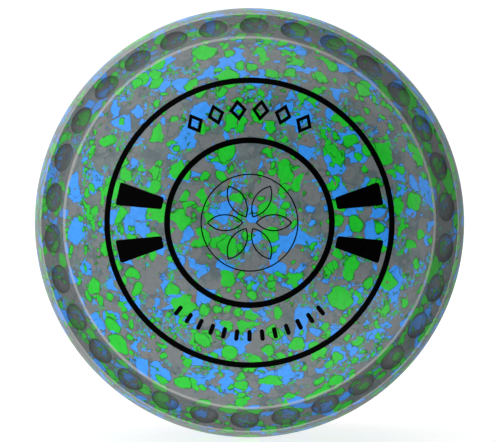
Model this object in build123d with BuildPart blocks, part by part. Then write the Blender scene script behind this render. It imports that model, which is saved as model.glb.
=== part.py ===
"""Lawn bowl, size 3: one solid resin moulding whose engraved artwork is filled with black enamel.

Millimetres. The bowl's axis is Y and it stands on its running surface, with +Z up. The origin is on the
axis, midway between the two side flats. The front, towards -Y, is the outer side, which carries the large
rings. The back, towards +Y, is the bias side, which carries the small rings.
"""
import os
from math import asin, cos, degrees, radians, sin, sqrt

from build123d import *

# Overall shape
RUNNING_RADIUS = 62.0  # half of 124 mm, makers' size 3
HALF_WIDTH = 54.3
FLAT_RADIUS = 14.0  # turned flat in the middle of each side

# Running surface: one crown arc, with its highest line moved off the middle, which is the bias
CROWN_RADIUS = 80.0
CROWN_OFFSET = -0.8
RUNNING_EDGE = 24.0  # distance of each edge of the running surface from the middle

# Grip channel on each shoulder, between an inner and an outer ridge
INNER_RIDGE_RADIUS = 51.0
INNER_RIDGE_HEIGHT = 36.3
CHANNEL_DEPTH = 0.35
INNER_RIDGE_ROUND = 4.5
OUTER_RIDGE_ROUND = 2.0

# Grip dimples, each cut by a barrel-shaped tool that lies across the channel
DIMPLE_COUNT = 30
DIMPLE_TOOL_RADIUS = 8.6  # at the middle of the barrel
DIMPLE_TOOL_CURVE = 10.2  # radius of the barrel's lengthwise curve
DIMPLE_TOOL_LENGTH = 14.0
DIMPLE_DEPTH = 1.15
DIMPLE_PLACE = 0.48  # share of the channel's width, from the running surface
DIMPLE_PHASE = -91.35  # degrees, so that one dimple is close to the bottom

# Engraving and the enamel that fills it
ENGRAVING_DEPTH = 0.35
ENAMEL_SINK = 0.05  # the enamel dries a little below the surface
TOOL_CLEARANCE = 0.5  # how far above the surface the engraving cut starts
SKIN_EDGE_RADIUS = 45.0  # the artwork stays inside this radius

# Artwork on the front. The back has the same layout on a smaller scale, with lines of the same width.
RING_LINE = 1.6
OUTER_RING_RADIUS = 38.4
INNER_RING_RADIUS = 22.0
MARKS_RADIUS = 30.3
BACK_SCALE = 0.81

BAR_ANGLE = 12.5  # degrees above and below the horizontal
BAR_START = 23.7
BAR_END = 36.3
BAR_START_WIDTH = 3.2
BAR_END_WIDTH = 6.4
BAR_ROUND = 0.6

DIAMOND_COUNT = 6
DIAMOND_PITCH = 11.5  # degrees
DIAMOND_WIDTH = 4.8
DIAMOND_HEIGHT = 6.0
DIAMOND_LINE = 0.9

DASH_COUNT = 13
DASH_PITCH = 6.5  # degrees
DASH_WIDTH = 1.2
DASH_HEIGHT = 3.2

FINE_LINE = 0.35
EMBLEM_RADIUS = 12.9
PETAL_COUNT = 6
PETAL_START = 1.6
PETAL_END = 11.4
PETAL_BULGE = 2.3  # half of a petal's width

SIDES = {
    "front": {"direction": -1, "scale": 1.0, "plane": Plane.XZ},
    "back": {"direction": 1, "scale": BACK_SCALE, "plane": Plane((0, 0, 0), x_dir=(-1, 0, 0), z_dir=(0, 1, 0))},
}


def running_radius_at(y):
    """Radius of the running surface at a distance y along the axis."""
    drop = CROWN_RADIUS - sqrt(CROWN_RADIUS**2 - (y - CROWN_OFFSET) ** 2)
    return RUNNING_RADIUS - drop


def dome_radius():
    """Radius of the arc that leaves the side flat without a step and reaches the inner ridge."""
    across = INNER_RIDGE_RADIUS - FLAT_RADIUS
    down = HALF_WIDTH - INNER_RIDGE_HEIGHT
    return (across**2 + down**2) / (2 * down)


def dimple_tool_planes(direction):
    """Where the barrel-shaped tool stops for each dimple of the side that faces direction along Y.

    X points out of the channel, which keeps the tool's seam out of the cut, and Z runs down across the channel.
    """
    outer = Vector(running_radius_at(direction * RUNNING_EDGE), RUNNING_EDGE)
    inner = Vector(INNER_RIDGE_RADIUS, INNER_RIDGE_HEIGHT)
    chord = inner - outer
    outward = Vector(chord.Y, -chord.X).normalized()
    across = chord.normalized()
    sag_here = CHANNEL_DEPTH * (1 - (2 * DIMPLE_PLACE - 1) ** 2)
    stand_off = DIMPLE_TOOL_RADIUS - DIMPLE_DEPTH - sag_here
    centre = outer + chord * DIMPLE_PLACE + outward * stand_off
    planes = []
    for index in range(DIMPLE_COUNT):
        turn = radians(DIMPLE_PHASE + 360 * index / DIMPLE_COUNT)
        planes.append(
            Plane(
                origin=(centre.X * cos(turn), direction * centre.Y, centre.X * sin(turn)),
                x_dir=(outward.X * cos(turn), direction * outward.Y, outward.X * sin(turn)),
                z_dir=(across.X * cos(turn), direction * across.Y, across.X * sin(turn)),
            )
        )
    return planes


def side_skin(direction, top, bottom):
    """The layer of one side between two depths below its surface, out to SKIN_EDGE_RADIUS."""
    radius = dome_radius()
    centre = (FLAT_RADIUS, HALF_WIDTH - radius)
    sweep = degrees(asin((SKIN_EDGE_RADIUS - FLAT_RADIUS) / radius))
    with BuildPart() as skin:
        with BuildSketch():
            with BuildLine():
                upper = CenterArc(centre, radius - top, 90, -sweep)
                lower = CenterArc(centre, radius - bottom, 90, -sweep)
                Line(upper @ 1, lower @ 1)
                Polyline(upper @ 0, (0, HALF_WIDTH - top), (0, HALF_WIDTH - bottom), lower @ 0)
            make_face()
            if direction < 0:
                mirror(about=Plane.XZ, mode=Mode.REPLACE)
        revolve(axis=Axis.Y)
    return skin.part


def ring_outline(radius, line):
    """A ring whose line is centred on the given radius."""
    with BuildSketch() as ring:
        Circle(radius + line / 2)
        Circle(radius - line / 2, mode=Mode.SUBTRACT)
    return ring.sketch


def bars_outline(scale):
    """Two tapered bars on the right and two on the left, between the rings."""
    start = BAR_START * scale
    end = BAR_END * scale
    half_start = BAR_START_WIDTH * scale / 2
    half_end = BAR_END_WIDTH * scale / 2
    with BuildSketch() as bar:
        with BuildLine():
            Polyline((start, -half_start), (end, -half_end), (end, half_end), (start, half_start), close=True)
        make_face()
        fillet(bar.vertices(), BAR_ROUND * scale)
    with BuildSketch() as bars:
        for angle in (-BAR_ANGLE, BAR_ANGLE, 180 - BAR_ANGLE, 180 + BAR_ANGLE):
            with Locations(Rotation(0, 0, angle)):
                add(bar.sketch)
    return bars.sketch


def arc_places(middle, count, pitch, radius):
    """Count places around a radius, centred on the middle angle, each with its Y axis along the radius."""
    angles = [middle + pitch * (index - (count - 1) / 2) for index in range(count)]
    return [Rotation(0, 0, angle - 90) * Pos(0, radius) for angle in angles]


def diamonds_outline(scale):
    """An arc of hollow diamonds over the inner ring."""
    half_width = DIAMOND_WIDTH * scale / 2
    half_height = DIAMOND_HEIGHT * scale / 2
    with BuildSketch() as diamond:
        with BuildLine():
            Polyline((0, -half_height), (half_width, 0), (0, half_height), (-half_width, 0), close=True)
        make_face()
        offset(amount=-DIAMOND_LINE * scale, kind=Kind.INTERSECTION, mode=Mode.SUBTRACT)
    with BuildSketch() as diamonds:
        with Locations(*arc_places(90, DIAMOND_COUNT, DIAMOND_PITCH, MARKS_RADIUS * scale)):
            add(diamond.sketch)
    return diamonds.sketch


def dashes_outline(scale):
    """An arc of short upright dashes with round ends under the inner ring."""
    with BuildSketch() as dashes:
        with Locations(*arc_places(-90, DASH_COUNT, DASH_PITCH, MARKS_RADIUS * scale)):
            SlotOverall(DASH_HEIGHT * scale, DASH_WIDTH * scale, rotation=90)
    return dashes.sketch


def petals_outline(scale):
    """A rosette of fine petal outlines inside the emblem ring."""
    start = PETAL_START * scale
    end = PETAL_END * scale
    bulge = PETAL_BULGE * scale
    with BuildSketch() as petal:
        with BuildLine():
            SagittaArc((start, 0), (end, 0), bulge)
            SagittaArc((end, 0), (start, 0), bulge)
        make_face()
        offset(amount=-FINE_LINE, kind=Kind.INTERSECTION, mode=Mode.SUBTRACT)
    with BuildSketch() as petals:
        with PolarLocations(0, PETAL_COUNT):
            add(petal.sketch)
    return petals.sketch


def artwork_outlines(scale):
    """Every engraved outline of one side, by the name of the enamel piece that fills it."""
    return {
        "outer_ring": ring_outline(OUTER_RING_RADIUS * scale, RING_LINE),
        "inner_ring": ring_outline(INNER_RING_RADIUS * scale, RING_LINE),
        "side_bars": bars_outline(scale),
        "upper_diamonds": diamonds_outline(scale),
        "lower_dashes": dashes_outline(scale),
        "emblem_ring": ring_outline(EMBLEM_RADIUS * scale, FINE_LINE),
        "emblem_petals": petals_outline(scale),
    }


os.makedirs("parts", exist_ok=True)
pockets = []
enamel_volume = 0

# The enamel pieces, one node for each outline on each side
for side_name, side in SIDES.items():
    enamel_layer = side_skin(side["direction"], ENAMEL_SINK, ENGRAVING_DEPTH)
    cut_layer = side_skin(side["direction"], -TOOL_CLEARANCE, ENGRAVING_DEPTH)
    for piece_name, outline in artwork_outlines(side["scale"]).items():
        with BuildPart() as enamel:
            with BuildSketch(side["plane"]):
                add(outline)
            extrude(amount=HALF_WIDTH)
            add(enamel_layer, mode=Mode.INTERSECT)
        with BuildPart() as pocket:
            with BuildSketch(side["plane"]):
                add(outline)
            extrude(amount=HALF_WIDTH + TOOL_CLEARANCE)
            add(cut_layer, mode=Mode.INTERSECT)
        pockets.append(pocket.part)
        enamel_volume += enamel.part.volume
        enamel.part.label = f"{side_name}_{piece_name}"
        export_step(enamel.part, f"parts/{enamel.part.label}.step")

# The barrel-shaped tool that cuts the dimples, which are longer across the channel than along it
tool_end = DIMPLE_TOOL_LENGTH / 2
tool_end_radius = DIMPLE_TOOL_RADIUS - DIMPLE_TOOL_CURVE + sqrt(DIMPLE_TOOL_CURVE**2 - tool_end**2)
with BuildPart() as dimple_tool:
    with BuildSketch(Plane.XZ):
        with BuildLine():
            Line((0, -tool_end), (tool_end_radius, -tool_end))
            ThreePointArc((tool_end_radius, -tool_end), (DIMPLE_TOOL_RADIUS, 0), (tool_end_radius, tool_end))
            Polyline((tool_end_radius, tool_end), (0, tool_end), (0, -tool_end))
        make_face()
    revolve(axis=Axis.Z)

# The turned bowl: flats, domed sides, grip channels and crown, then dimples and engraving
front_inner = (INNER_RIDGE_RADIUS, -INNER_RIDGE_HEIGHT)
back_inner = (INNER_RIDGE_RADIUS, INNER_RIDGE_HEIGHT)
front_outer = (running_radius_at(-RUNNING_EDGE), -RUNNING_EDGE)
back_outer = (running_radius_at(RUNNING_EDGE), RUNNING_EDGE)
with BuildPart() as bowl_body:
    with BuildSketch() as section:
        with BuildLine():
            Line((0, -HALF_WIDTH), (FLAT_RADIUS, -HALF_WIDTH))
            TangentArc((FLAT_RADIUS, -HALF_WIDTH), front_inner, tangent=(1, 0))
            SagittaArc(front_inner, front_outer, CHANNEL_DEPTH)
            ThreePointArc(front_outer, (RUNNING_RADIUS, CROWN_OFFSET), back_outer)
            SagittaArc(back_outer, back_inner, CHANNEL_DEPTH)
            TangentArc((FLAT_RADIUS, HALF_WIDTH), back_inner, tangent=(1, 0))
            Polyline((FLAT_RADIUS, HALF_WIDTH), (0, HALF_WIDTH), (0, -HALF_WIDTH))
        make_face()
        ridges = section.vertices().filter_by_position(Axis.X, INNER_RIDGE_RADIUS - 1, RUNNING_RADIUS)
        fillet(ridges.group_by(Axis.X)[0], INNER_RIDGE_ROUND)
        ridges = section.vertices().filter_by_position(Axis.X, front_outer[0] - 1, front_outer[0] + 1)
        fillet(ridges, OUTER_RIDGE_ROUND)
    revolve(axis=Axis.Y)
    for side in SIDES.values():
        with Locations(*dimple_tool_planes(side["direction"])):
            add(dimple_tool.part, mode=Mode.SUBTRACT)
    add(pockets, mode=Mode.SUBTRACT)
bowl_body.part.label = "bowl_body"
export_step(bowl_body.part, "parts/bowl_body.step")

print("body volume, cc:", round(bowl_body.part.volume / 1000, 1))
print("enamel volume, cc:", round(enamel_volume / 1000, 2))
print("lowest point of the running surface, mm:", bowl_body.part.bounding_box().min.Z)
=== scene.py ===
"""Looks of the lawn bowl: a fine mesh of the moulded body, its enamel fills, materials, studio and camera.

Lengths are in millimetres until a mesh is made. Each side is drawn in its own plane, with U to the right and
V up as seen by someone facing that side. Heights run from the bowl's middle plane towards the side.
"""
from math import asin, atan2, cos, hypot, pi, radians, sin, sqrt, tan

import bmesh
import bpy
import numpy as np
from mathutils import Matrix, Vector
from mathutils.geometry import delaunay_2d_cdt


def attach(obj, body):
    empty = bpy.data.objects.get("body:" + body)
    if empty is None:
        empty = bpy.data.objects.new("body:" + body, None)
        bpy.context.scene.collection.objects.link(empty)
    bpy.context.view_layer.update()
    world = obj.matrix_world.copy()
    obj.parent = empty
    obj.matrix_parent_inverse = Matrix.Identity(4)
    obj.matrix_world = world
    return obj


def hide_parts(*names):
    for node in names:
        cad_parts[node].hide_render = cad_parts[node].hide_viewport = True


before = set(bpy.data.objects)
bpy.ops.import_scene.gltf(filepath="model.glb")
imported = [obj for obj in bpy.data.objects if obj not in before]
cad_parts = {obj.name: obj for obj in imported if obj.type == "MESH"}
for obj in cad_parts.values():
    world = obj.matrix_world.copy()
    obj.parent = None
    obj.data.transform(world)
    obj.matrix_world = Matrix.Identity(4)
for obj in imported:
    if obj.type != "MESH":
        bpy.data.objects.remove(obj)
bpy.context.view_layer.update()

MM = 0.001

# ---------------------------------------------------------------------------------------------------------
# Dimensions, as in the CAD model
# ---------------------------------------------------------------------------------------------------------
RUNNING_RADIUS = 62.0
HALF_WIDTH = 54.3
FLAT_RADIUS = 14.0
CROWN_RADIUS = 80.0
CROWN_OFFSET = -0.8
RUNNING_EDGE = 24.0
INNER_RIDGE_RADIUS = 51.0
INNER_RIDGE_HEIGHT = 36.3
CHANNEL_DEPTH = 0.35
INNER_RIDGE_REACH = 0.52  # how far the rounding of a ridge runs along the surface on each side
OUTER_RIDGE_REACH = 0.32
DIMPLE_COUNT = 30
DIMPLE_TOOL_RADIUS = 8.6
DIMPLE_TOOL_CURVE = 10.2
DIMPLE_DEPTH = 1.15
DIMPLE_PLACE = 0.48
DIMPLE_PHASE = -91.35

ENGRAVING_DEPTH = 0.35
ENAMEL_SINK = 0.05
RING_LINE = 1.6
OUTER_RING_RADIUS = 38.4
INNER_RING_RADIUS = 22.0
MARKS_RADIUS = 30.3
BAR_ANGLE = 12.5
BAR_START = 23.7
BAR_END = 36.3
BAR_START_WIDTH = 3.2
BAR_END_WIDTH = 6.4
BAR_ROUND = 0.6
DIAMOND_COUNT = 6
DIAMOND_PITCH = 11.5
DIAMOND_WIDTH = 4.8
DIAMOND_HEIGHT = 6.0
DIAMOND_LINE = 0.9
DASH_COUNT = 13
DASH_PITCH = 6.5
DASH_WIDTH = 1.2
DASH_HEIGHT = 3.2
FINE_LINE = 0.35
EMBLEM_RADIUS = 12.9
PETAL_COUNT = 6
PETAL_START = 1.6
PETAL_END = 11.4
PETAL_BULGE = 2.3
SIDES = {"front": {"direction": -1, "scale": 1.0}, "back": {"direction": 1, "scale": 0.81}}

# ---------------------------------------------------------------------------------------------------------
# Mesh fineness
# ---------------------------------------------------------------------------------------------------------
TURN_STEPS = 480  # round the bowl, a multiple of DIMPLE_COUNT
CELL_STEPS = TURN_STEPS // DIMPLE_COUNT
CHANNEL_STEPS = 10
CROWN_ROWS = 27
DOME_ROWS = 7
RIDGE_STEPS = 6
CELL_RINGS = (0.0, 0.4, 0.75, 0.93, 1.0)  # shares of the way from a dimple cell's border to the dimple's rim
DIMPLE_RINGS = (0.95, 0.86, 0.72, 0.56, 0.4, 0.24, 0.1)  # shares of the way from a dimple's middle to its rim
RIM_RANGE = (1.0, 6.0)  # no rim is nearer to its dimple's middle or farther from it
RIM_HALVINGS = 40
ART_EDGE = 45.0  # radius where the engraved middle of a side meets the plain turned surface
ART_GRID = 1.3
OUTLINE_STEP = 0.5
FILLET_STEPS = 5
DASH_END_STEPS = 10
PETAL_STEPS = 30
MENISCUS = 0.2  # width of the raised edge of the enamel
MENISCUS_SINK = 0.4  # share of ENAMEL_SINK that is left at the wall
SHORE_SLOPE = 0.6  # share of ENAMEL_SINK gained over the width of the meniscus
DEEPEST_SINK = 1.2  # share of ENAMEL_SINK in the middle of a wide stroke
WELD_DISTANCE = 0.0005  # points nearer than this become one
BODY_SHARP_ANGLE = 25  # degrees between faces that makes an edge sharp
ENAMEL_SHARP_ANGLE = 50

# ---------------------------------------------------------------------------------------------------------
# Looks
# ---------------------------------------------------------------------------------------------------------
INNER_CREST_HIGHLIGHT, OUTER_CREST_HIGHLIGHT = 0.95, 0.6  # half widths of the painted highlights on the ridges' crests
HIGHLIGHT_CORE = 0.55  # share of a crest's half width where the painted highlight is full
CREST_HIGHLIGHT_MIX = 0.45  # how far a crest's colour goes towards a pale grey, as a painted highlight
CHANNEL_PAINTED_SHADE = 0.63  # brightness of the channels beside the rest of the bowl, a painted shade over the recessed grip channels
CHANNEL_BLEND = 0.1  # half width of the change in tone at the edge of a channel
DIMPLE_PAINTED_SHADE = 0.5  # how far a dimple's colour goes towards a dark grey, as painted shade in the hollow
DIMPLE_WALL_SHADE = 0.5  # how much darker a dimple gets from halfway out to its rim
DIMPLE_RIM_SHADE = 0.55
PAINTED_RINGS, RELIEF_RINGS = 3.4, 9.0  # tool rings from the middle of a dimple to its rim
PAINTED_RING_SHADE = 0.09
RELIEF_RING_HEIGHT, PEEL_HEIGHT = 0.012, 0.02
FLAKE_GAP = 0.16  # widest gap between a flake and the edge of its cell, as a share of the cell's size
BLOB_REACH, BLOB_SPREAD = 0.26, 0.34  # least radius of a blob and how much more there can be, likewise
PATCH_THRESHOLD, PATCH_SLOPE = 0.72, 2.6
CHIP_BLEND = (-0.02, 0.04)  # millimetres inward between which a chip fades in
HALO_WIDTH, HALO_SHADE = 0.7, 0.72  # of the shade round a chip: its share of the dark edge, and its tone

WHITE, BRIGHT, DIM = 1.08, 2.25, 0.0  # strengths of the world: as the camera sees it, outside the oval, in it
OVAL_CENTRE = (0.415, 0.0, 0.24)  # in the components of a direction, as are the two half widths
OVAL_HALF_WIDTHS = (0.975, 0.6)
OVAL_TURN = -0.537
OVAL_SOFT_EDGE = 0.9  # share of the way out where the dark oval starts to brighten
BEHIND = (0.48, 0.12)  # shares of the light that are left behind the bowl, on its left and its right
OVAL_END = (-0.15, 0.05)  # Y of a direction where the oval starts to end, and where it has ended
BEHIND_START = (-0.1, 0.3)  # Y of a direction where the light behind starts, and where it is full
BEHIND_SPREAD = (-0.4, 0.5)  # X of a direction, between which the left share becomes the right one
SLANT = (0.456, 0.263)  # how much brighter it is towards the right and towards the top

# Lamp, floor and camera, in metres but for the lens and its sensor
KEY_LIGHT_PLACE = (-1.2, -0.9, 0.5)
KEY_LIGHT_SIZE = 1.0
KEY_LIGHT_POWER = 1.0
FLOOR_RADIUS = 6.0
FLOOR_SEGMENTS = 96
FLOOR_GAP = 0.0001  # below the bowl
FLOOR_GLOW = 0.78
CAMERA_DISTANCE = 0.65
CAMERA_LENS = 162.5
SENSOR_WIDTH = 36.0
IMAGE_WIDTH = 495
CAMERA_SHIFT = (-2.0, 1.7)  # in pixels of an image that is IMAGE_WIDTH wide
CAMERA_CLIP_START = 0.05


# ---------------------------------------------------------------------------------------------------------
# Surface of the bowl
# ---------------------------------------------------------------------------------------------------------
def running_radius_at(y):
    """Radius of the running surface at y along the axis."""
    return RUNNING_RADIUS - CROWN_RADIUS + np.sqrt(CROWN_RADIUS**2 - (y - CROWN_OFFSET) ** 2)


def dome_radius():
    """Radius of the arc that leaves the side's flat without a step and reaches the inner ridge."""
    across = INNER_RIDGE_RADIUS - FLAT_RADIUS
    down = HALF_WIDTH - INNER_RIDGE_HEIGHT
    return (across**2 + down**2) / (2 * down)


def dome_height(radius):
    """Height of a side at a distance from the axis."""
    curve = dome_radius()
    beyond = np.maximum(np.asarray(radius) - FLAT_RADIUS, 0)
    return HALF_WIDTH - curve + np.sqrt(curve**2 - beyond**2)


def tool_radius_at(along):
    """Radius of the barrel-shaped dimple tool at a distance along its axis from its middle."""
    return DIMPLE_TOOL_RADIUS - DIMPLE_TOOL_CURVE + np.sqrt(DIMPLE_TOOL_CURVE**2 - along**2)


class Channel:
    """The grip channel of one side. A share of 0 is at its inner ridge and 1 at its outer ridge."""

    def __init__(self, direction):
        self.direction = direction
        self.inner = np.array((INNER_RIDGE_RADIUS, INNER_RIDGE_HEIGHT))
        self.outer = np.array((float(running_radius_at(direction * RUNNING_EDGE)), RUNNING_EDGE))
        self.chord = self.outer - self.inner
        self.length = hypot(*self.chord)
        self.outward = np.array((-self.chord[1], self.chord[0])) / self.length
        self.dimple_share = 1 - DIMPLE_PLACE
        self.dimple_radius = self.at(self.dimple_share)[0]  # distance of a dimple's middle from the axis
        stand_off = DIMPLE_TOOL_RADIUS - DIMPLE_DEPTH - self.sag(self.dimple_share)
        self.tool = self.inner + self.chord * self.dimple_share + self.outward * stand_off

    def sag(self, share):
        """How far the channel is below the straight line between its ridges."""
        return 4 * CHANNEL_DEPTH * share * (1 - share)

    def at(self, share):
        """Radius and height at each share."""
        share = np.asarray(share, float)[..., None]
        return self.inner + self.chord * share - self.outward * self.sag(share)

    def seen_from_tool(self, points):
        """How far each point is from the middle of the dimple tool: along its axis, outward and aside."""
        gap = points - (self.tool[0], self.tool[1], 0)
        return gap[:, :2] @ self.chord / self.length, gap[:, :2] @ self.outward, gap[:, 2]

    def cut_by_tool(self, points):
        """The points moved straight away from the tool's axis, to its surface."""
        along, out, aside = self.seen_from_tool(points)
        stretch = (tool_radius_at(along) / np.hypot(out, aside))[:, None]
        axis = self.tool + along[:, None] * self.chord / self.length
        moved = axis + out[:, None] * stretch * self.outward
        return np.concatenate((moved, aside[:, None] * stretch), axis=-1)


def rounded(before, corner, after, steps):
    """Points of a smooth curve that turns the corner, without its two ends."""
    t = np.linspace(0, 1, steps + 1)[1:-1, None]
    return (1 - t) ** 2 * before + 2 * t * (1 - t) * corner + t**2 * after


def from_cylinder(radius, y, turn):
    """Points from their distance to the axis, y and turn round the axis."""
    across = radius * np.cos(turn)
    return np.stack((across, np.broadcast_to(y, across.shape), radius * np.sin(turn)), axis=-1)


# ---------------------------------------------------------------------------------------------------------
# Pieces of mesh, gathered and then welded
# ---------------------------------------------------------------------------------------------------------
class Gather:
    """Points in millimetres, faces and point attributes of one mesh."""

    def __init__(self, attributes=()):
        self.points = []
        self.faces = []
        self.values = {name: [] for name in attributes}
        self.count = 0

    def add(self, points, faces, **values):
        """Adds points and the faces between them. An attribute that isn't given is 0."""
        points = np.asarray(points, float).reshape(-1, 3)
        self.points.append(points)
        self.faces += [tuple(int(corner) + self.count for corner in face) for face in faces]
        for name, kept in self.values.items():
            kept.append(np.broadcast_to(np.asarray(values.get(name, 0.0), float).ravel(), len(points)))
        self.count += len(points)

    def add_rows(self, rows, **values):
        """Adds a closed surface of revolution through rows of points, each row once round."""
        rows = np.asarray(rows)
        row_count, around = rows.shape[:2]
        index = np.arange(row_count * around).reshape(row_count, around)
        after = np.roll(index, -1, axis=1)
        corners = np.stack((index[:-1], after[:-1], after[1:], index[1:]), axis=-1)
        self.add(rows, corners.reshape(-1, 4), **values)

    def build(self, name):
        """The welded mesh object, in metres, with its faces turned outward and smooth."""
        mesh = bpy.data.meshes.new(name)
        mesh.from_pydata(np.concatenate(self.points) * MM, [], self.faces)
        for attribute, kept in self.values.items():
            layer = mesh.attributes.new(attribute, "FLOAT", "POINT")
            layer.data.foreach_set("value", np.concatenate(kept).astype(np.float32))
        whole = bmesh.new()
        whole.from_mesh(mesh)
        bmesh.ops.remove_doubles(whole, verts=whole.verts, dist=WELD_DISTANCE * MM)
        unused = [corner for corner in whole.verts if not corner.link_faces]
        bmesh.ops.delete(whole, geom=unused, context="VERTS")
        bmesh.ops.recalc_face_normals(whole, faces=whole.faces)
        whole.to_mesh(mesh)
        whole.free()
        mesh.shade_smooth()
        piece = bpy.data.objects.new(name, mesh)
        bpy.context.scene.collection.objects.link(piece)
        return piece


# ---------------------------------------------------------------------------------------------------------
# Artwork outlines, as closed loops in a side's plane
# ---------------------------------------------------------------------------------------------------------
def turned(points, degrees_):
    """Points turned about the middle of the side."""
    angle = radians(degrees_)
    turn = np.array(((cos(angle), sin(angle)), (-sin(angle), cos(angle))))
    return np.asarray(points, float) @ turn


def densified(corners):
    """A closed loop with extra points, so that no step is longer than OUTLINE_STEP."""
    corners = np.asarray(corners, float)
    points = []
    for start, end in zip(corners, np.roll(corners, -1, axis=0)):
        steps = max(1, int(np.ceil(hypot(*(end - start)) / OUTLINE_STEP)))
        points += [start + (end - start) * step / steps for step in range(steps)]
    return np.array(points)


def circle(radius, steps):
    """Points of a circle about the middle of the side."""
    angle = np.arange(steps) * 2 * pi / steps
    return np.stack((np.cos(angle), np.sin(angle)), axis=-1) * radius


def arc(centre, radius, start, end, steps):
    """Points of an arc between two angles in degrees, both ends included."""
    angle = np.radians(np.linspace(start, end, steps + 1))
    return np.asarray(centre) + radius * np.stack((np.cos(angle), np.sin(angle)), axis=-1)


def ring_loops(radius, line, steps):
    """The two edges of a ring whose line is centred on the given radius."""
    return [circle(radius + line / 2, steps), circle(radius - line / 2, steps)]


def filleted(corners, radius):
    """A closed loop whose corners are rounded."""
    corners = np.asarray(corners, float)
    points = []
    for index, corner in enumerate(corners):
        back = corners[index - 1] - corner
        ahead = corners[(index + 1) % len(corners)] - corner
        back /= hypot(*back)
        ahead /= hypot(*ahead)
        half = np.arccos(np.clip(back @ ahead, -1, 1)) / 2
        middle = (back + ahead) / hypot(*(back + ahead))
        centre = corner + middle * radius / sin(half)
        start = corner + back * radius / tan(half)
        end = corner + ahead * radius / tan(half)
        first = atan2(*(start - centre)[::-1])
        sweep = (atan2(*(end - centre)[::-1]) - first + pi) % (2 * pi) - pi
        angles = first + np.linspace(0, 1, FILLET_STEPS + 1) * sweep
        points += list(centre + radius * np.stack((np.cos(angles), np.sin(angles)), axis=-1))
    return np.array(points)


def bar_loops(scale):
    """Two tapered bars on the right and two on the left, between the rings."""
    start, end = BAR_START * scale, BAR_END * scale
    half_start, half_end = BAR_START_WIDTH * scale / 2, BAR_END_WIDTH * scale / 2
    corners = [(start, -half_start), (end, -half_end), (end, half_end), (start, half_start)]
    bar = densified(filleted(corners, BAR_ROUND * scale))
    return [turned(bar, angle) for angle in (-BAR_ANGLE, BAR_ANGLE, 180 - BAR_ANGLE, 180 + BAR_ANGLE)]


def arc_angles(middle, count, pitch):
    """Angles in degrees of marks that are spread evenly about the middle angle."""
    return [middle + pitch * (index - (count - 1) / 2) for index in range(count)]


def diamond_loops(scale):
    """An arc of hollow diamonds over the inner ring."""
    half_width, half_height = DIAMOND_WIDTH * scale / 2, DIAMOND_HEIGHT * scale / 2
    inset = 1 - DIAMOND_LINE * scale * hypot(half_width, half_height) / (half_width * half_height)
    outer = np.array([(0, -half_height), (half_width, 0), (0, half_height), (-half_width, 0)])
    up = np.array((0, MARKS_RADIUS * scale))
    loops = []
    for angle in arc_angles(90, DIAMOND_COUNT, DIAMOND_PITCH):
        loops += [turned(densified(shape) + up, angle - 90) for shape in (outer, outer * inset)]
    return loops


def dash_loops(scale):
    """An arc of short upright dashes with round ends under the inner ring."""
    half_width = DASH_WIDTH * scale / 2
    reach = DASH_HEIGHT * scale / 2 - half_width
    upper = arc((0, reach), half_width, 0, 180, DASH_END_STEPS)
    lower = arc((0, -reach), half_width, 180, 360, DASH_END_STEPS)
    dash = densified(np.concatenate((upper, lower))) + np.array((0, MARKS_RADIUS * scale))
    return [turned(dash, angle - 90) for angle in arc_angles(-90, DASH_COUNT, DASH_PITCH)]


def petal_outline(scale, inset):
    """One petal: two arcs that meet in points. The inset outline is parallel to the outer one."""
    middle = (PETAL_START + PETAL_END) / 2 * scale
    half = (PETAL_END - PETAL_START) / 2 * scale
    bulge = PETAL_BULGE * scale
    radius = (half**2 + bulge**2) / (2 * bulge)
    sink = radius - bulge
    spread = np.degrees(np.arccos(sink / (radius - inset)))
    upper = arc((middle, -sink), radius - inset, 90 - spread, 90 + spread, PETAL_STEPS)
    lower = arc((middle, sink), radius - inset, 270 - spread, 270 + spread, PETAL_STEPS)
    return np.concatenate((upper[:-1], lower[:-1]))


def petal_loops(scale):
    """A rosette of fine petal outlines inside the emblem ring."""
    outlines = [petal_outline(scale, inset) for inset in (0, FINE_LINE)]
    angles = [360 * index / PETAL_COUNT for index in range(PETAL_COUNT)]
    return [turned(outline, angle) for angle in angles for outline in outlines]


def artwork_loops(scale):
    """The closed loops of every enamel piece of a side, by the end of its name."""
    return {
        "outer_ring": ring_loops(OUTER_RING_RADIUS * scale, RING_LINE, TURN_STEPS),
        "inner_ring": ring_loops(INNER_RING_RADIUS * scale, RING_LINE, TURN_STEPS // 2),
        "side_bars": bar_loops(scale),
        "upper_diamonds": diamond_loops(scale),
        "lower_dashes": dash_loops(scale),
        "emblem_ring": ring_loops(EMBLEM_RADIUS * scale, FINE_LINE, TURN_STEPS // 2),
        "emblem_petals": petal_loops(scale),
    }


# ---------------------------------------------------------------------------------------------------------
# The engraved middle of a side
# ---------------------------------------------------------------------------------------------------------
def inside(points, loops):
    """Which points lie inside the loops, where a loop within a loop is a hole."""
    odd = np.zeros(len(points), bool)
    for loop in loops:
        near = np.all((points >= loop.min(0)) & (points <= loop.max(0)), axis=1)
        u, v = points[near, 0][:, None], points[near, 1][:, None]
        start, end = loop, np.roll(loop, -1, axis=0)
        spans = (start[:, 1] > v) != (end[:, 1] > v)
        rise = np.where(end[:, 1] == start[:, 1], 1.0, end[:, 1] - start[:, 1])
        crossing = start[:, 0] + (v - start[:, 1]) / rise * (end[:, 0] - start[:, 0])
        odd[near] ^= (np.sum(spans & (u < crossing), axis=1) % 2).astype(bool)
    return odd


def distance_to(points, targets):
    """How far each point is from the nearest target point."""
    best = np.full(len(points), np.inf)
    for chunk in np.array_split(targets, max(1, len(targets) // 400)):
        gap = np.hypot(points[:, None, 0] - chunk[:, 0], points[:, None, 1] - chunk[:, 1])
        best = np.minimum(best, gap.min(axis=1))
    return best


def inset_points(loop, other_side):
    """Points beside a loop, at the width of the meniscus. other_side is -1 or 1."""
    along = np.roll(loop, -1, axis=0) - np.roll(loop, 1, axis=0)
    across = np.stack((-along[:, 1], along[:, 0]), axis=-1) / np.hypot(*along.T)[:, None]
    return loop + across * other_side * MENISCUS


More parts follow.
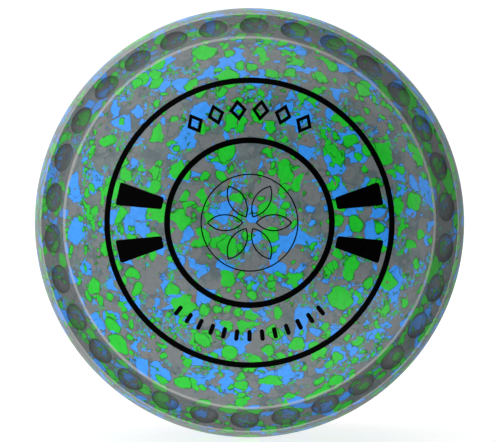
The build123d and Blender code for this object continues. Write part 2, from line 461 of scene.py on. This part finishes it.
def side_triangles(outlines, edge_turns):
    """Triangles over the middle of a side that follow every outline.

    Returns the points, the triangles and the number of the outline that each triangle is in, or -1.
    """
    loops = [loop for group in outlines.values() for loop in group]
    rim = ART_EDGE * np.stack((np.cos(edge_turns), np.sin(edge_turns)), axis=-1)
    drawn = np.concatenate(loops + [rim])
    steps = int(ART_EDGE / ART_GRID) + 2
    row, column = np.mgrid[-steps : steps + 1, -steps : steps + 1]
    u, v = (column + 0.5 * (row % 2)) * ART_GRID, row * ART_GRID * sqrt(0.75)
    grid = np.stack((u, v), axis=-1).reshape(-1, 2)
    grid = grid[np.hypot(*grid.T) < ART_EDGE - 0.4 * ART_GRID]
    grid = grid[distance_to(grid, drawn) > 0.5 * ART_GRID]
    beside = np.concatenate([inset_points(loop, way) for loop in loops for way in (-1, 1)])
    beside = beside[distance_to(beside, drawn) > 0.9 * MENISCUS]
    points = [Vector(point) for point in np.concatenate((drawn, grid, beside))]
    edges = []
    first = 0
    for loop in loops + [rim]:
        count = len(loop)
        edges += [(first + index, first + (index + 1) % count) for index in range(count)]
        first += count
    made = delaunay_2d_cdt(points, edges, [], 0, 1e-6, False)
    flat = np.array([tuple(point) for point in made[0]])
    triangles = np.array(made[2])
    centres = flat[triangles].mean(axis=1)
    number = np.full(len(triangles), -1)
    for index, group in enumerate(outlines.values()):
        number[inside(centres, group)] = index
    return flat, triangles, number


def on_side(flat, depth, direction):
    """Points of a side's plane, set at a depth below the side's surface."""
    radius = np.hypot(*flat.T)
    return np.stack((-direction * flat[:, 0], direction * (dome_height(radius) - depth), flat[:, 1]), axis=-1)


def open_edges(triangles):
    """The edges that belong to one triangle only, each in that triangle's direction."""
    pairs = np.concatenate((triangles[:, (0, 1)], triangles[:, (1, 2)], triangles[:, (2, 0)]))
    seen = {tuple(pair) for pair in pairs.tolist()}
    return np.array([pair for pair in pairs.tolist() if (pair[1], pair[0]) not in seen])


def compacted(flat, triangles):
    """Only the points that the triangles use, and the triangles renumbered."""
    used, renumbered = np.unique(triangles, return_inverse=True)
    return flat[used], renumbered.reshape(triangles.shape)


def add_slab(gather, flat, triangles, top_depth, bottom_depth, direction, with_top, with_bottom):
    """A slab of a side between two depths, with walls, and with or without its top and bottom."""
    flat, triangles = compacted(flat, triangles)
    edges = open_edges(triangles)
    count = len(flat)
    points = np.concatenate((on_side(flat, top_depth, direction), on_side(flat, bottom_depth, direction)))
    faces = [(start, end, end + count, start + count) for start, end in edges.tolist()]
    if with_top:
        faces += triangles.tolist()
    if with_bottom:
        faces += [(c + count, b + count, a + count) for a, b, c in triangles.tolist()]
    gather.add(points, faces)


def make_side(body, side_name, side, turns):
    """Adds the engraved middle of a side to the body, and makes the enamel pieces of that side."""
    direction = side["direction"]
    outlines = artwork_loops(side["scale"])
    side_turns = turns if direction < 0 else pi - turns
    flat, triangles, number = side_triangles(outlines, side_turns)
    plain, plain_triangles = compacted(flat, triangles[number < 0])
    body.add(on_side(plain, 0, direction), plain_triangles)
    pieces = {}
    for index, (name, loops) in enumerate(outlines.items()):
        chosen = triangles[number == index]
        add_slab(body, flat, chosen, 0, ENGRAVING_DEPTH, direction, with_top=False, with_bottom=True)
        enamel = Gather()
        shore = distance_to(compacted(flat, chosen)[0], np.concatenate(loops))
        share = np.minimum(MENISCUS_SINK + SHORE_SLOPE * shore / MENISCUS, DEEPEST_SINK)
        top_depth = ENAMEL_SINK * share
        add_slab(enamel, flat, chosen, top_depth, ENGRAVING_DEPTH, direction, with_top=True, with_bottom=True)
        pieces[f"{side_name}_{name}"] = enamel
    return pieces


# ---------------------------------------------------------------------------------------------------------
# The turned body and its dimples
# ---------------------------------------------------------------------------------------------------------
def rim_of_dimple(channel, angle):
    """How far the dimple's rim is from its middle, in the direction of each angle.

    Angle 0 is along the channel and a quarter turn is towards the running surface.
    """
    near, far = (np.full(len(angle), end) for end in RIM_RANGE)
    for _ in range(RIM_HALVINGS):
        middle = (near + far) / 2
        radius, height = channel.at(channel.dimple_share + middle * np.sin(angle) / channel.length).T
        turn = middle * np.cos(angle) / channel.dimple_radius
        along, out, aside = channel.seen_from_tool(from_cylinder(radius, height, turn))
        within = np.hypot(out, aside) < tool_radius_at(along)
        near, far = np.where(within, middle, near), np.where(within, far, middle)
    return middle


def dimple_cell(channel, start_share, end_share):
    """Points of the channel round one dimple, in rings from the cell's border to the dimple's middle.

    Returns their radius, height and turn, the attributes of each, and how many rings of how many points.
    """
    half_turn = pi / DIMPLE_COUNT
    across = np.linspace(-half_turn, half_turn, CELL_STEPS + 1)
    down = np.linspace(start_share, end_share, CHANNEL_STEPS + 1)
    border = np.concatenate(
        (
            np.stack((across[:-1], np.full(CELL_STEPS, start_share)), axis=-1),
            np.stack((np.full(CHANNEL_STEPS, half_turn), down[:-1]), axis=-1),
            np.stack((across[:0:-1], np.full(CELL_STEPS, end_share)), axis=-1),
            np.stack((np.full(CHANNEL_STEPS, -half_turn), down[:0:-1]), axis=-1),
        )
    )
    border_x = border[:, 0] * channel.dimple_radius
    border_y = (border[:, 1] - channel.dimple_share) * channel.length
    angle = np.arctan2(border_y, border_x)
    rim = rim_of_dimple(channel, angle)
    same = np.ones(len(angle))
    rings = []
    for step in CELL_RINGS:
        x = border_x * (1 - step) + rim * np.cos(angle) * step
        y = border_y * (1 - step) + rim * np.sin(angle) * step
        rings.append((x, y, 0 * same, same * (step == 1.0), same))
    for part in DIMPLE_RINGS:
        rings.append((rim * part * np.cos(angle), rim * part * np.sin(angle), same, 0 * same, part * same))
    x, y, within, edge, outward = (np.concatenate(column) for column in zip(*rings))
    radius, height = channel.at(channel.dimple_share + y / channel.length).T
    turn = x / channel.dimple_radius
    plain = from_cylinder(radius, height, turn)
    surface = np.where(within[:, None] > 0, channel.cut_by_tool(plain), plain)
    across, height, aside = surface.T
    place = (np.hypot(across, aside), height, np.arctan2(aside, across))
    values = {"dimple": within, "dimple_edge": edge, "dimple_outward": outward}
    return place, values, (len(rings), len(angle))


def add_dimples(body, channel, start_share, end_share):
    """Adds the channel of one side, one cell for each dimple."""
    (radius, height, turn), values, shape = dimple_cell(channel, start_share, end_share)
    index = np.arange(len(radius)).reshape(shape)
    after = np.roll(index, -1, axis=1)
    faces = np.stack((index[:-1], after[:-1], after[1:], index[1:]), axis=-1).reshape(-1, 4).tolist()
    faces.append(tuple(index[-1]))
    for number in range(DIMPLE_COUNT):
        middle = radians(DIMPLE_PHASE + 360 * number / DIMPLE_COUNT)
        points = from_cylinder(radius, channel.direction * height, middle + turn)
        body.add(points, faces, **values)


def make_bowl():
    """The body and its enamel pieces, as gathered meshes by node name."""
    body = Gather(("dimple", "dimple_edge", "dimple_outward"))
    turns = np.radians(DIMPLE_PHASE) + (np.arange(TURN_STEPS) + CELL_STEPS / 2) * 2 * pi / TURN_STEPS
    gathers = {"bowl_body": body}
    crown_y = RUNNING_EDGE - OUTER_RIDGE_REACH
    slope = asin((INNER_RIDGE_RADIUS - FLAT_RADIUS) / dome_radius())
    ridge_start = INNER_RIDGE_RADIUS - INNER_RIDGE_REACH * cos(slope)
    for side_name, side in SIDES.items():
        direction = side["direction"]
        channel = Channel(direction)
        gathers.update(make_side(body, side_name, side, turns))

        start_share = INNER_RIDGE_REACH / channel.length
        end_share = 1 - OUTER_RIDGE_REACH / channel.length
        dome_radii = np.linspace(ART_EDGE, ridge_start, DOME_ROWS)
        dome = np.stack((dome_radii, dome_height(dome_radii)), axis=-1)
        inner_ridge = rounded(dome[-1], channel.inner, channel.at(start_share), RIDGE_STEPS)
        crown_start = np.array((float(running_radius_at(direction * crown_y)), crown_y))
        outer_ridge = rounded(channel.at(end_share), channel.outer, crown_start, RIDGE_STEPS)

        upper = np.concatenate((dome, inner_ridge, [channel.at(start_share)]))
        lower = np.concatenate(([channel.at(end_share)], outer_ridge, [crown_start]))
        for profile in (upper, lower):
            body.add_rows(from_cylinder(profile[:, :1], direction * profile[:, 1:], turns[None, :]))
        add_dimples(body, channel, start_share, end_share)

    crown = np.linspace(-crown_y, crown_y, CROWN_ROWS)[:, None]
    body.add_rows(from_cylinder(running_radius_at(crown), crown, turns[None, :]))
    return gathers


# ---------------------------------------------------------------------------------------------------------
# Materials
# ---------------------------------------------------------------------------------------------------------
class Graph:
    """The nodes of a material or a world, made from numbers, colours and the sockets of other nodes."""

    def __init__(self, owner):
        owner.use_nodes = True
        self.owner = owner
        self.tree = owner.node_tree
        self.shader = self.tree.nodes.get("Principled BSDF") or self.tree.nodes["Background"]

    def feed(self, socket, value):
        """Links a socket to another node's socket, or sets it to a plain value."""
        if isinstance(value, bpy.types.NodeSocket):
            self.tree.links.new(value, socket)
        else:
            socket.default_value = value

    def node(self, kind, inputs=None, **settings):
        """A new node with the given settings, and its inputs fed by name or number."""
        made = self.tree.nodes.new(kind)
        for key, value in settings.items():
            setattr(made, key, value)
        for key, value in (inputs or {}).items():
            self.feed(made.inputs[key], value)
        return made

    def math(self, operation, *values):
        """The result of a Math node."""
        made = self.node("ShaderNodeMath", operation=operation)
        for socket, value in zip(made.inputs, values):
            self.feed(socket, value)
        return made.outputs[0]

    def vector(self, operation, *values):
        """The vector result of a Vector Math node."""
        made = self.node("ShaderNodeVectorMath", operation=operation)
        for socket, value in zip(made.inputs, values):
            self.feed(socket, value)
        return made.outputs[0]

    def scaled(self, vector, factor):
        """A vector or colour times a number."""
        made = self.node("ShaderNodeVectorMath", {"Scale": factor}, operation="SCALE")
        self.feed(made.inputs[0], vector)
        return made.outputs[0]

    def ramp(self, value, low, high, start=0.0, end=1.0):
        """start up to low, end from high, and smooth between them."""
        inputs = {"Value": value, "From Min": low, "From Max": high, "To Min": start, "To Max": end}
        return self.node("ShaderNodeMapRange", inputs, interpolation_type="SMOOTHSTEP").outputs["Result"]

    def mix(self, factor, first, second):
        """The first colour at a factor of 0, the second at 1. The colour sockets are numbers 6, 7 and 2."""
        made = self.node("ShaderNodeMix", data_type="RGBA")
        self.feed(made.inputs[0], factor)
        self.feed(made.inputs[6], first)
        self.feed(made.inputs[7], second)
        return made.outputs[2]

    def noise(self, place, scale, detail, roughness=0.5):
        """The outputs of a noise texture."""
        inputs = {"Vector": place, "Scale": scale, "Detail": detail, "Roughness": roughness}
        return self.node("ShaderNodeTexNoise", inputs).outputs

    def height(self, place, scale, detail, roughness=0.5):
        """The value of a noise texture."""
        return self.noise(place, scale, detail, roughness)["Fac"]

    def attribute(self, name):
        """A point attribute of the mesh."""
        return self.node("ShaderNodeAttribute", attribute_name=name).outputs["Fac"]

    def place(self):
        """The position on the object, in millimetres."""
        return self.scaled(self.node("ShaderNodeTexCoord").outputs["Object"], 1 / MM)

    def warped(self, place, scale, amount, detail):
        """The position, moved about by noise of the given scale in millimetres."""
        noise = self.noise(place, 1 / scale, detail)["Color"]
        centred = self.vector("SUBTRACT", noise, (0.5, 0.5, 0.5))
        return self.vector("ADD", place, self.scaled(centred, amount))

    def set(self, **values):
        """Feeds the shader's own sockets, named with _ for each space."""
        for name, value in values.items():
            self.feed(self.shader.inputs[name.replace("_", " ")], value)


def rgb(red, green, blue):
    """A linear colour from sRGB values of 0 to 255."""

    def linear(value):
        value /= 255
        return value / 12.92 if value <= 0.04045 else ((value + 0.055) / 1.055) ** 2.4

    return (linear(red), linear(green), linear(blue), 1.0)


def shifted(graph, place, seed):
    """The position moved by a distance of its own for each seed, so that no two patterns line up."""
    return graph.vector("ADD", place, (seed, 2.7 * seed, -1.9 * seed))


def cells(graph, place, size, seed):
    """A Voronoi pattern: two chances of each cell, the distance from its middle and that from its edge."""
    inputs = {"Vector": shifted(graph, place, seed), "Scale": 1 / size}
    middle = graph.node("ShaderNodeTexVoronoi", inputs)
    border = graph.node("ShaderNodeTexVoronoi", inputs, feature="DISTANCE_TO_EDGE")
    chances = graph.node("ShaderNodeSeparateColor", {"Color": middle.outputs["Color"]}).outputs
    return (
        chances[0],
        chances[1],
        graph.math("MULTIPLY", middle.outputs["Distance"], size),
        graph.math("MULTIPLY", border.outputs["Distance"], size),
    )


def in_chosen_cells(graph, inward, chance, share, size):
    """A distance inward that is brought below 0 in all but a share of the cells."""
    left_out = graph.math("GREATER_THAN", chance, share)
    return graph.math("SUBTRACT", inward, graph.math("MULTIPLY", left_out, size))


def flakes(graph, place, size, share, seed):
    """Angular flakes in a share of the cells. Returns how far inside one a point is, or below 0 outside."""
    chance, other, _, from_edge = cells(graph, place, size, seed)
    inward = graph.math("SUBTRACT", from_edge, graph.math("MULTIPLY", other, FLAKE_GAP * size))
    return in_chosen_cells(graph, inward, chance, share, size)


def blobs(graph, place, size, share, seed):
    """Rounded blobs in a share of the cells. Returns how far inside one a point is, or below 0 outside."""
    chance, other, from_middle, _ = cells(graph, place, size, seed)
    reach = graph.math("MULTIPLY_ADD", other, BLOB_SPREAD * size, BLOB_REACH * size)
    return in_chosen_cells(graph, graph.math("SUBTRACT", reach, from_middle), chance, share, size)


def patches(graph, place, size, share, seed):
    """Lumpy patches where noise is high. Returns about how far inside one a point is, or below 0 outside."""
    height = graph.height(shifted(graph, place, seed), 1 / size, 1.5)
    least = PATCH_SLOPE * size * (PATCH_THRESHOLD - share)
    return graph.math("MULTIPLY_ADD", height, PATCH_SLOPE * size, -least)


def chip(graph, below, inward, colour, edge_colour, edge):
    """A chip over what is below it, with its edge darker for a width in millimetres, outside it as well."""
    start, end = CHIP_BLEND
    below = graph.scaled(below, graph.ramp(inward, -HALO_WIDTH * edge, 0.0, 1.0, HALO_SHADE))
    shade = graph.mix(graph.ramp(inward, start, edge), edge_colour, colour)
    return graph.mix(graph.ramp(inward, start, end), below, shade)


def ring_mask(graph, radius, y, ring, width):
    """1 on a circle round the axis, given as its radius and y, and falling to 0 at a width from it."""
    away = graph.math("SUBTRACT", radius, ring[0])
    along = graph.math("SUBTRACT", y, ring[1])
    squared = graph.math("MULTIPLY_ADD", away, away, graph.math("MULTIPLY", along, along))
    return graph.ramp(graph.math("SQRT", squared), HIGHLIGHT_CORE * width, width, 1.0, 0.0)


def turned_places(graph, place):
    """Masks of the ridges' crests, where a highlight is painted, and of the grip channels between them."""
    parts = graph.node("ShaderNodeSeparateXYZ", {"Vector": place}).outputs
    squared = graph.math("MULTIPLY", parts["Z"], parts["Z"])
    radius = graph.math("SQRT", graph.math("MULTIPLY_ADD", parts["X"], parts["X"], squared))
    height = graph.math("ABSOLUTE", parts["Y"])
    crest_highlights = ring_mask(graph, radius, height, (INNER_RIDGE_RADIUS, INNER_RIDGE_HEIGHT), INNER_CREST_HIGHLIGHT)
    for direction in (-1, 1):
        edge = direction * RUNNING_EDGE
        ring = (float(running_radius_at(edge)), edge)
        crest_highlights = graph.math("MAXIMUM", crest_highlights, ring_mask(graph, radius, parts["Y"], ring, OUTER_CREST_HIGHLIGHT))
    low, high = RUNNING_EDGE, INNER_RIDGE_HEIGHT
    beyond_outer = graph.ramp(height, low - CHANNEL_BLEND, low + CHANNEL_BLEND)
    before_inner = graph.ramp(height, high - CHANNEL_BLEND, high + CHANNEL_BLEND, 1.0, 0.0)
    return crest_highlights, graph.math("MULTIPLY", beyond_outer, before_inner)


def mortar(graph, place, ragged, crowding):
    """What lies between the chips: cool grey, with fine specks in clusters."""
    tone = graph.ramp(graph.height(place, 0.2, 3.0), 0.38, 0.62)
    colour = graph.mix(tone, rgb(90, 104, 108), rgb(106, 118, 118))
    cluster = graph.ramp(crowding, 0.485, 0.525)
    for size, share, seed, speck in (
        (0.75, 0.24, 11.0, rgb(66, 146, 182)),
        (0.95, 0.36, 23.0, rgb(56, 148, 240)),
        (0.9, 0.36, 37.0, rgb(34, 176, 60)),
    ):
        inward = flakes(graph, ragged, size, share, seed)
        colour = graph.mix(graph.math("MULTIPLY", graph.ramp(inward, 0.0, 0.05), cluster), colour, speck)
    return colour


def chipped(graph, place):
    """The colour of the resin all through: chips in layers over the mortar."""
    ragged = graph.warped(graph.warped(place, 4.0, 2.6, 1.0), 0.9, 1.1, 2.5)
    torn = graph.warped(graph.warped(place, 4.0, 2.6, 1.0), 1.3, 1.2, 1.8)
    soft = graph.warped(graph.warped(place, 4.5, 3.4, 1.0), 1.6, 1.7, 2.5)
    crowding = graph.height(place, 0.13, 2.0)
    packing = graph.ramp(crowding, 0.48, 0.56, 0.86, 0.34)  # the grey chips leave room for the specks
    colour = mortar(graph, place, ragged, crowding)

    # Each chip's colour, its edge's colour and the edge's width
    grey = (rgb(112, 118, 120), rgb(78, 88, 90), 0.12)
    blue = (rgb(54, 148, 242), rgb(28, 60, 100), 0.18)
    green = (rgb(30, 194, 46), rgb(10, 74, 18), 0.36)
    for shape, coordinates, size, share, seed, kind in (
        (blobs, soft, 2.0, 0.12, 5.0, green),
        (flakes, ragged, 1.9, 0.035, 67.0, blue),
        (blobs, soft, 4.6, packing, 41.0, grey),
        (flakes, torn, 3.4, 0.07, 7.0, blue),
        (blobs, ragged, 7.2, packing, 43.0, grey),
        (patches, torn, 6.4, 0.105, 53.0, blue),
        (flakes, torn, 5.8, 0.15, 13.0, blue),
        (blobs, soft, 2.9, 0.18, 61.0, green),
        (patches, soft, 4.6, 0.085, 59.0, green),
        (blobs, soft, 4.4, 0.30, 17.0, green),
        (blobs, soft, 6.2, 0.20, 19.0, green),
    ):
        colour = chip(graph, colour, shape(graph, coordinates, size, share, seed), *kind)

    # Rust-brown grains, few and tiny
    grain = flakes(graph, ragged, 1.1, 0.006, 29.0)
    colour = graph.mix(graph.ramp(grain, 0.0, 0.05), colour, rgb(118, 98, 90))
    return graph.scaled(colour, graph.ramp(graph.height(place, 0.8, 3.0), 0.3, 0.7, 0.92, 1.06))


def waves(graph, value, count):
    """A sine with a number of waves from a value of 0 to a value of 1."""
    return graph.math("SINE", graph.math("MULTIPLY", value, 2 * pi * count))


def speckled_resin():
    """Chips, with duller and darker channels (painted shade), paler ridges (a painted highlight on their
    crests), painted shade in the dimples, and tool rings in the dimples.
    """
    graph = Graph(bpy.data.materials.new("speckled_resin"))
    place = graph.place()
    colour = chipped(graph, place)
    crest_highlights, channel = turned_places(graph, place)
    # Painted shade: the recessed grip channels darkened
    colour = graph.scaled(colour, graph.ramp(channel, 0.0, 1.0, 1.0, CHANNEL_PAINTED_SHADE))
    # Painted highlight: the ridges' crests paled towards a light grey
    colour = graph.mix(graph.math("MULTIPLY", crest_highlights, CREST_HIGHLIGHT_MIX), colour, rgb(186, 186, 182))

    dimple = graph.attribute("dimple")
    edge = graph.attribute("dimple_edge")
    outward = graph.attribute("dimple_outward")
    # Painted shade in the dimples: a dark grey veil, darker towards the walls and the rim, with darker tool
    # rings
    colour = graph.mix(graph.math("MULTIPLY", dimple, DIMPLE_PAINTED_SHADE), colour, rgb(60, 62, 64))
    shade = graph.ramp(outward, 0.5, 1.0, 0.0, DIMPLE_WALL_SHADE)
    painted_rings = graph.ramp(waves(graph, outward, PAINTED_RINGS), 0.6, 1.0)
    shade = graph.math("MULTIPLY_ADD", painted_rings, PAINTED_RING_SHADE, shade)
    shade = graph.math("MULTIPLY_ADD", edge, DIMPLE_RIM_SHADE, graph.math("MULTIPLY", dimple, shade))
    colour = graph.scaled(colour, graph.math("SUBTRACT", 1.0, shade))

    # Relief: rings left by the tool in the dimples, and a faint orange peel all over
    peel = graph.height(place, 0.9, 3.0)
    rings = waves(graph, outward, RELIEF_RINGS)
    marks = graph.math("MULTIPLY", rings, graph.math("MULTIPLY", dimple, RELIEF_RING_HEIGHT))
    relief = graph.math("MULTIPLY_ADD", peel, PEEL_HEIGHT, marks)
    bump = graph.node("ShaderNodeBump", {"Height": relief, "Distance": MM, "Strength": 1.0})
    roughness = graph.math("MULTIPLY_ADD", dimple, 0.22, graph.math("MULTIPLY_ADD", peel, 0.12, 0.26))
    graph.set(Base_Color=colour, Roughness=roughness, Normal=bump.outputs["Normal"], Specular_IOR_Level=0.27)
    return graph.owner


def black_enamel():
    """Satin black, faintly uneven where it dried."""
    graph = Graph(bpy.data.materials.new("black_enamel"))
    wear = graph.height(graph.place(), 1.4, 4.0, 0.6)
    colour = graph.mix(graph.ramp(wear, 0.35, 0.75), rgb(1, 1, 1), rgb(4, 4, 5))
    bump = graph.node("ShaderNodeBump", {"Height": wear, "Distance": 0.02 * MM, "Strength": 1.0})
    roughness = graph.math("MULTIPLY_ADD", wear, 0.25, 0.3)
    graph.set(Base_Color=colour, Roughness=roughness, Normal=bump.outputs["Normal"], Specular_IOR_Level=0.01)
    return graph.owner


def white_paper():
    """A pale floor that is mostly lit from within, so that only a faint shadow shows."""
    graph = Graph(bpy.data.materials.new("studio_paper"))
    grain = graph.height(graph.place(), 0.05, 3.0)
    colour = graph.mix(grain, (0.3, 0.3, 0.3, 1), (0.34, 0.34, 0.34, 1))
    graph.set(Base_Color=colour, Roughness=1.0, Emission_Color=(1, 1, 1, 1), Emission_Strength=FLOOR_GLOW)
    return graph.owner


# ---------------------------------------------------------------------------------------------------------
# Assembly
# ---------------------------------------------------------------------------------------------------------
resin = speckled_resin()
enamel = black_enamel()
for node_name, gather in make_bowl().items():
    piece = gather.build(node_name + "_fine")
    is_body = node_name == "bowl_body"
    piece.data.materials.append(resin if is_body else enamel)
    piece.data.set_sharp_from_angle(angle=radians(BODY_SHARP_ANGLE if is_body else ENAMEL_SHARP_ANGLE))
    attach(piece, "root")
    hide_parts(node_name)

# ---------------------------------------------------------------------------------------------------------
# Studio and camera
# ---------------------------------------------------------------------------------------------------------
floor_mesh = bpy.data.meshes.new("studio_floor")
disc = bmesh.new()
bmesh.ops.create_circle(disc, cap_ends=True, segments=FLOOR_SEGMENTS, radius=FLOOR_RADIUS)
disc.to_mesh(floor_mesh)
disc.free()
floor = bpy.data.objects.new("studio_floor", floor_mesh)
floor.location.z = -RUNNING_RADIUS * MM - FLOOR_GAP
floor_mesh.materials.append(white_paper())
bpy.context.scene.collection.objects.link(floor)
floor.visible_diffuse = False
floor.visible_glossy = False


def studio_world():
    """Soft white light from all round but a dark oval in front, a little to the right and up.

    It is also weaker from behind and from the lower left. The camera sees plain white.
    """
    graph = Graph(bpy.data.worlds.new("studio_world"))
    direction = graph.node("ShaderNodeTexCoord").outputs["Generated"]
    parts = graph.node("ShaderNodeSeparateXYZ", {"Vector": direction}).outputs
    from_oval = graph.vector("SUBTRACT", direction, OVAL_CENTRE)
    squares = []
    for turn, half_width in zip((OVAL_TURN, OVAL_TURN + pi / 2), OVAL_HALF_WIDTHS):
        axis = (cos(turn) / half_width, 0.0, sin(turn) / half_width)
        dot = graph.node("ShaderNodeVectorMath", {0: from_oval, 1: axis}, operation="DOT_PRODUCT")
        squares.append(graph.math("POWER", graph.math("ABSOLUTE", dot.outputs["Value"]), 2.0))
    reach = graph.math("SQRT", graph.math("ADD", *squares))
    oval = graph.ramp(reach, OVAL_SOFT_EDGE, 1.0, DIM, BRIGHT)
    oval = graph.math("MAXIMUM", oval, graph.ramp(parts["Y"], *OVAL_END, 0.0, BRIGHT))
    behind = graph.ramp(parts["Y"], *BEHIND_START, 1.0, graph.ramp(parts["X"], *BEHIND_SPREAD, *BEHIND))
    slant = graph.math("MULTIPLY_ADD", parts["Z"], SLANT[1], 1.0)
    slant = graph.math("MULTIPLY_ADD", parts["X"], SLANT[0], slant)
    light = graph.math("MULTIPLY", graph.math("MULTIPLY", oval, behind), slant)
    camera_ray = graph.node("ShaderNodeLightPath").outputs["Is Camera Ray"]
    strength = graph.node("ShaderNodeMix", {"Factor": camera_ray, "A": light, "B": WHITE})
    graph.set(Color=(1, 1, 1, 1), Strength=strength.outputs["Result"])
    return graph.owner


bpy.context.scene.world = studio_world()


def area_light(name, place, size, power):
    """A round soft light at a place in metres, aimed at the bowl."""
    data = bpy.data.lights.new(name, "AREA")
    data.shape = "DISK"
    data.size = size
    data.energy = power
    lamp = bpy.data.objects.new(name, data)
    lamp.location = place
    lamp.rotation_euler = (-Vector(place)).to_track_quat("-Z", "Y").to_euler()
    bpy.context.scene.collection.objects.link(lamp)


area_light("key_light", KEY_LIGHT_PLACE, KEY_LIGHT_SIZE, KEY_LIGHT_POWER)

camera_data = bpy.data.cameras.new("camera")
camera_data.sensor_width = SENSOR_WIDTH
camera_data.lens = CAMERA_LENS
camera_data.shift_x = CAMERA_SHIFT[0] / IMAGE_WIDTH
camera_data.shift_y = CAMERA_SHIFT[1] / IMAGE_WIDTH
camera_data.clip_start = CAMERA_CLIP_START
camera = bpy.data.objects.new("camera", camera_data)
camera.location = (0, -CAMERA_DISTANCE, 0)
camera.rotation_euler = (pi / 2, 0, 0)
bpy.context.scene.collection.objects.link(camera)
bpy.context.scene.camera = camera
bpy.context.scene.view_settings.view_transform = "Standard"
